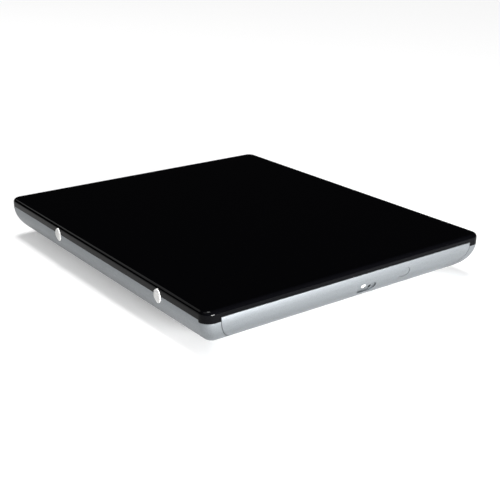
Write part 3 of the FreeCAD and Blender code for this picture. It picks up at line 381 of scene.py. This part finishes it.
def screw(bm, place, head_radius, head_height, shank_radius, length):
    """Machine screw whose cross recessed head looks down: a grid drawn into a disc, its cross sunk."""
    grid = bmesh.ops.create_grid(bm, x_segments=recess_cells, y_segments=recess_cells, size=1.0)["verts"]
    for vert in grid:
        x, y = vert.co.x, vert.co.y
        vert.co.x = x * math.sqrt(1 - y * y / 2) * head_radius * MM
        vert.co.y = y * math.sqrt(1 - x * x / 2) * head_radius * MM
    faces = list({f for v in grid for f in v.link_faces})
    side = [e for f in faces for e in f.edges if len(e.link_faces) == 1]
    arm, half = head_radius * MM * 0.6, head_radius * MM / recess_cells
    cross = [f for f in faces if min(abs(c) for c in f.calc_center_median().xy) < half
             and f.calc_center_median().xy.length < arm]
    sunk = corners_of(bmesh.ops.extrude_face_region(bm, geom=cross)["geom"])
    bmesh.ops.delete(bm, geom=cross, context="FACES_KEEP_BOUNDARY")
    bmesh.ops.translate(bm, vec=(0, 0, -0.6 * head_height * MM), verts=sunk)
    bmesh.ops.scale(bm, vec=(0.8, 0.8, 1), verts=sunk)
    skin = list(grid) + sunk
    # Down the head's rim and side, in to the shank, and down the shank
    for drop, grow in ((0.08 * head_height, rim_swell), (0.92 * head_height, 1.0),
                       (0.0, shank_radius / head_radius / rim_swell), (length, 1.0)):
        made = bmesh.ops.extrude_edge_only(bm, edges=side)["geom"]
        ring = corners_of(made)
        side = [g for g in made if isinstance(g, bmesh.types.BMEdge) and all(v in ring for v in g.verts)]
        bmesh.ops.translate(bm, vec=(0, 0, -drop * MM), verts=ring)
        bmesh.ops.scale(bm, vec=(grow, grow, 1), verts=ring)
        skin += ring
    bmesh.ops.holes_fill(bm, edges=side)
    bmesh.ops.scale(bm, vec=(1 / rim_swell, 1 / rim_swell, 1), verts=skin)
    bmesh.ops.rotate(bm, verts=skin, cent=(0, 0, 0), matrix=Matrix.Rotation(math.pi, 3, "X"))
    bmesh.ops.translate(bm, vec=Vector(place) * MM, verts=skin)


def screw_group(node, places, head, length):
    """All screws of one node, as separate solids in one piece."""
    bm = bmesh.new()
    for place in places:
        screw(bm, place, length=length, **head)
    keep(bm, node + "_cross_recessed", body_of[node], finish[slots[node]], slots[node], node)


def seated(u, v, z):
    """Place on the pickup unit: u runs out from the spindle along the travel, v across it."""
    turn = math.radians(travel_deg)
    return (u * math.cos(turn) - v * math.sin(turn), spindle_y + u * math.sin(turn) + v * math.cos(turn), z)


def usb_inside():
    """Black contact tongue of the socket and its five gold springs."""
    bm = bmesh.new()
    block(bm, *usb_tongue, 0.12)
    keep(bm, "usb_contact_tongue", "case", finish["black_plastic"], "black_plastic")
    bm = bmesh.new()
    for i in range(-2, 3):
        middle = usb_x + usb_spring_step * i
        block(bm, (middle - usb_spring_half, 77.4, 10.6), (middle + usb_spring_half, 82.3, 10.72), 0.04)
    keep(bm, "usb_contact_springs", "case", gold_contact(), "bright_steel")


def jack_inside():
    """Nickel plated centre pin of the power jack, with a rounded nose, and the sprung sleeve round it."""
    nose = [(0, 0), (0.67, 0), (0.67, 7.2), (0.55, 7.5), (0.3, 7.7), (0, 7.76)]
    bm = bmesh.new()
    turned(bm, nose, (jack_x, jack_pin_y, jack_z), (0, 1, 0), 24)
    keep(bm, "jack_centre_pin", "case", finish["bright_steel"], "bright_steel")
    wall = [(1.78, 0), (1.62, 0.15), (1.62, 5.6), (1.78, 5.9), (1.78, 0)]
    bm = bmesh.new()
    turned(bm, wall, (jack_x, jack_sleeve_y, jack_z), (0, 1, 0), 32)
    keep(bm, "jack_outer_sleeve", "case", finish["bright_steel"], "bright_steel")


def lead_screw():
    """Rolled leadscrew: steel core with a left handed ridge, and its end pivot."""
    axis = Vector(seated(1, 0, 0)) - Vector(seated(0, 0, 0))
    base = Vector(seated(screw_u, screw_v, screw_z))
    bm = bmesh.new()
    turned(bm, [(0, 0), (1.0, 0), (1.0, 52.9), (0.6, 52.9), (0.6, 54.6), (0, 54.7)], base, axis, 24)
    wound(bm, [(0.95, 0), (0.95, 1.0), (1.3, 0.7), (1.3, 0.3)], base + axis * 51.4, axis, -thread_pitch, 17, 24)
    keep(bm, "lead_screw_threaded", "lead_screw", finish["bright_steel"], "bright_steel", "lead_screw")


def ejector_spring():
    """Compression spring of round wire on the ejector's rod."""
    ring = [(spring_radius + spring_wire * math.cos(a), spring_wire * math.sin(a))
            for a in (i * math.tau / 8 for i in range(8))]
    bm = bmesh.new()
    wound(bm, ring, (spring_x, spring_y, spring_z), (0, 1, 0), spring_pitch, 9, 20)
    keep(bm, "ejector_spring_coiled", "tray", finish["bright_steel"], "bright_steel", "ejector_spring")


for name, node in frame["nodes"].items():
    for part in node.material_slots:
        part.material = finish[slots[name]]

for edge_mm, names in (
        (crisp_edge, ("top_cover", "bottom_cover", "bezel", "eject_button")),
        (soft_edge, ("side_pads",)),
        (moulded_edge, ("rubber_feet", "light_guide", "tray", "disc_hub", "spindle_rotor", "friction_ring",
                        "pickup_body", "pickup_shield", "lens_holder", "usb_socket", "power_jack",
                        "traverse_frame", "latch_lever", "screw_follower", "ejector_rod", "sled_motor",
                        "latch_solenoid", "motor_base")),
        (stamped_edge, ("lens", "disc_claw_1", "disc_claw_2", "disc_claw_3", "slide_rail_left",
                        "slide_rail_right", "slide_guide_left", "slide_guide_right", "drive_pan",
                        "drive_top_plate", "tray_bottom_plate", "tray_chips", "bridge_chips", "latch_post",
                        "guide_rod_main", "guide_rod_aux"))):
    for name in names:
        dress(name, edge_mm)

screw_group("case_screws", [(x, 66, bottom_head_z) for x in (-50, 50)], bottom_head, case_screw_length)
screw_group("drive_screws", [(x, y, bottom_head_z) for x in (-44, 44) for y in (-36, 38)], bottom_head,
            drive_screw_length)
usb_inside()
jack_inside()
lead_screw()
ejector_spring()
screw_group("damper_screws", [seated(u, v, damper_head_z) for u, v in damper_places], damper_head,
            damper_screw_length)


# Floor, light, camera


floor_glow = 0.34
floor_size = 40
floor_z = -0.0002
room_glow = 0.008
camera_place = (-0.24106, -0.33686, 0.15792)
camera_turns = (36.68, 20.634, -0.303)
camera_focal = 929.13


def stage_floor():
    """Paper sweep. Seen by the camera, or mirrored in gloss or glass, it glows a little, so it reads white."""
    bpy.ops.mesh.primitive_plane_add(size=floor_size, location=(0, 0, floor_z))
    floor = bpy.context.object
    floor.name = "studio_floor"
    mat, tree, shader, place = start("white_paper_sweep", "#e0e0e0", 0.9, Specular_IOR_Level=0.0)
    path = add(tree, "ShaderNodeLightPath")
    seen = path.outputs["Is Camera Ray"]
    for ray in ("Is Glossy Ray", "Is Transmission Ray"):
        seen = add(tree, "ShaderNodeMath", {"operation": "MAXIMUM"},
                   {0: seen, 1: path.outputs[ray]}).outputs["Value"]
    lift = add(tree, "ShaderNodeMath", {"operation": "MULTIPLY", 1: floor_glow}, {0: seen})
    tree.links.new(lift.outputs["Value"], shader.inputs["Emission Strength"])
    shader.inputs["Emission Color"].default_value = colour("#ffffff")
    floor.data.materials.append(mat)


def sun(name, place, strength, spread_deg):
    """Far lamp that shines from place towards the object."""
    data = bpy.data.lights.new(name, "SUN")
    data.energy = strength
    data.angle = math.radians(spread_deg)
    lamp = bpy.data.objects.new(name, data)
    lamp.rotation_euler = (-Vector(place)).to_track_quat("-Z", "Y").to_euler()
    bpy.context.collection.objects.link(lamp)


def area(name, place, target, width, height, power):
    """Softbox that looks at its target."""
    data = bpy.data.lights.new(name, "AREA")
    data.shape = "RECTANGLE"
    data.size, data.size_y, data.energy = width, height, power
    lamp = bpy.data.objects.new(name, data)
    lamp.location = place
    lamp.rotation_euler = (Vector(target) - Vector(place)).to_track_quat("-Z", "Y").to_euler()
    bpy.context.collection.objects.link(lamp)


def dark_room():
    """A nearly dark room above the floor, which the glossy lid mirrors as black."""
    world = bpy.data.worlds.new("studio_room")
    bpy.context.scene.world = world
    world.use_nodes = True
    room = world.node_tree.nodes["Background"]
    room.inputs["Color"].default_value = colour("#ffffff")
    room.inputs["Strength"].default_value = room_glow


def photo_camera():
    """Camera at the photograph's angle: its place in metres, its turns in degrees, its focal length in
    pixels of the 500 pixel frame."""
    yaw, pitch, roll = (math.radians(degrees) for degrees in camera_turns)
    ahead = Vector((math.sin(yaw) * math.cos(pitch), math.cos(yaw) * math.cos(pitch), -math.sin(pitch)))
    right = Vector((math.cos(yaw), -math.sin(yaw), 0))
    down = ahead.cross(right)
    right_turned = math.cos(roll) * right + math.sin(roll) * down
    down_turned = -math.sin(roll) * right + math.cos(roll) * down
    data = bpy.data.cameras.new("photo_camera")
    data.sensor_width = 36
    data.lens = data.sensor_width * camera_focal / 500
    data.clip_start = 0.01
    camera = bpy.data.objects.new("photo_camera", data)
    axes = Matrix((right_turned, -down_turned, -ahead)).transposed()
    camera.matrix_world = Matrix.Translation(camera_place) @ axes.to_4x4()
    bpy.context.collection.objects.link(camera)
    bpy.context.scene.camera = camera


stage_floor()
sun("overhead_lamp", (0.0, 0.0, 1.0), 2.3, 18)
area("left_softbox", (-0.7, -0.1, 1.2), (0, 0, 0), 0.6, 0.6, 2.5)
area("front_softbox", (0.0, -0.6, 0.055), (0, 0, 0.01), 0.3, 0.08, 16)
area("back_softbox", (-0.45, 0.95, 0.7), (0, 0, 0), 0.8, 0.4, 1.5)
dark_room()
photo_camera()
bpy.context.scene.view_settings.view_transform = "Standard"
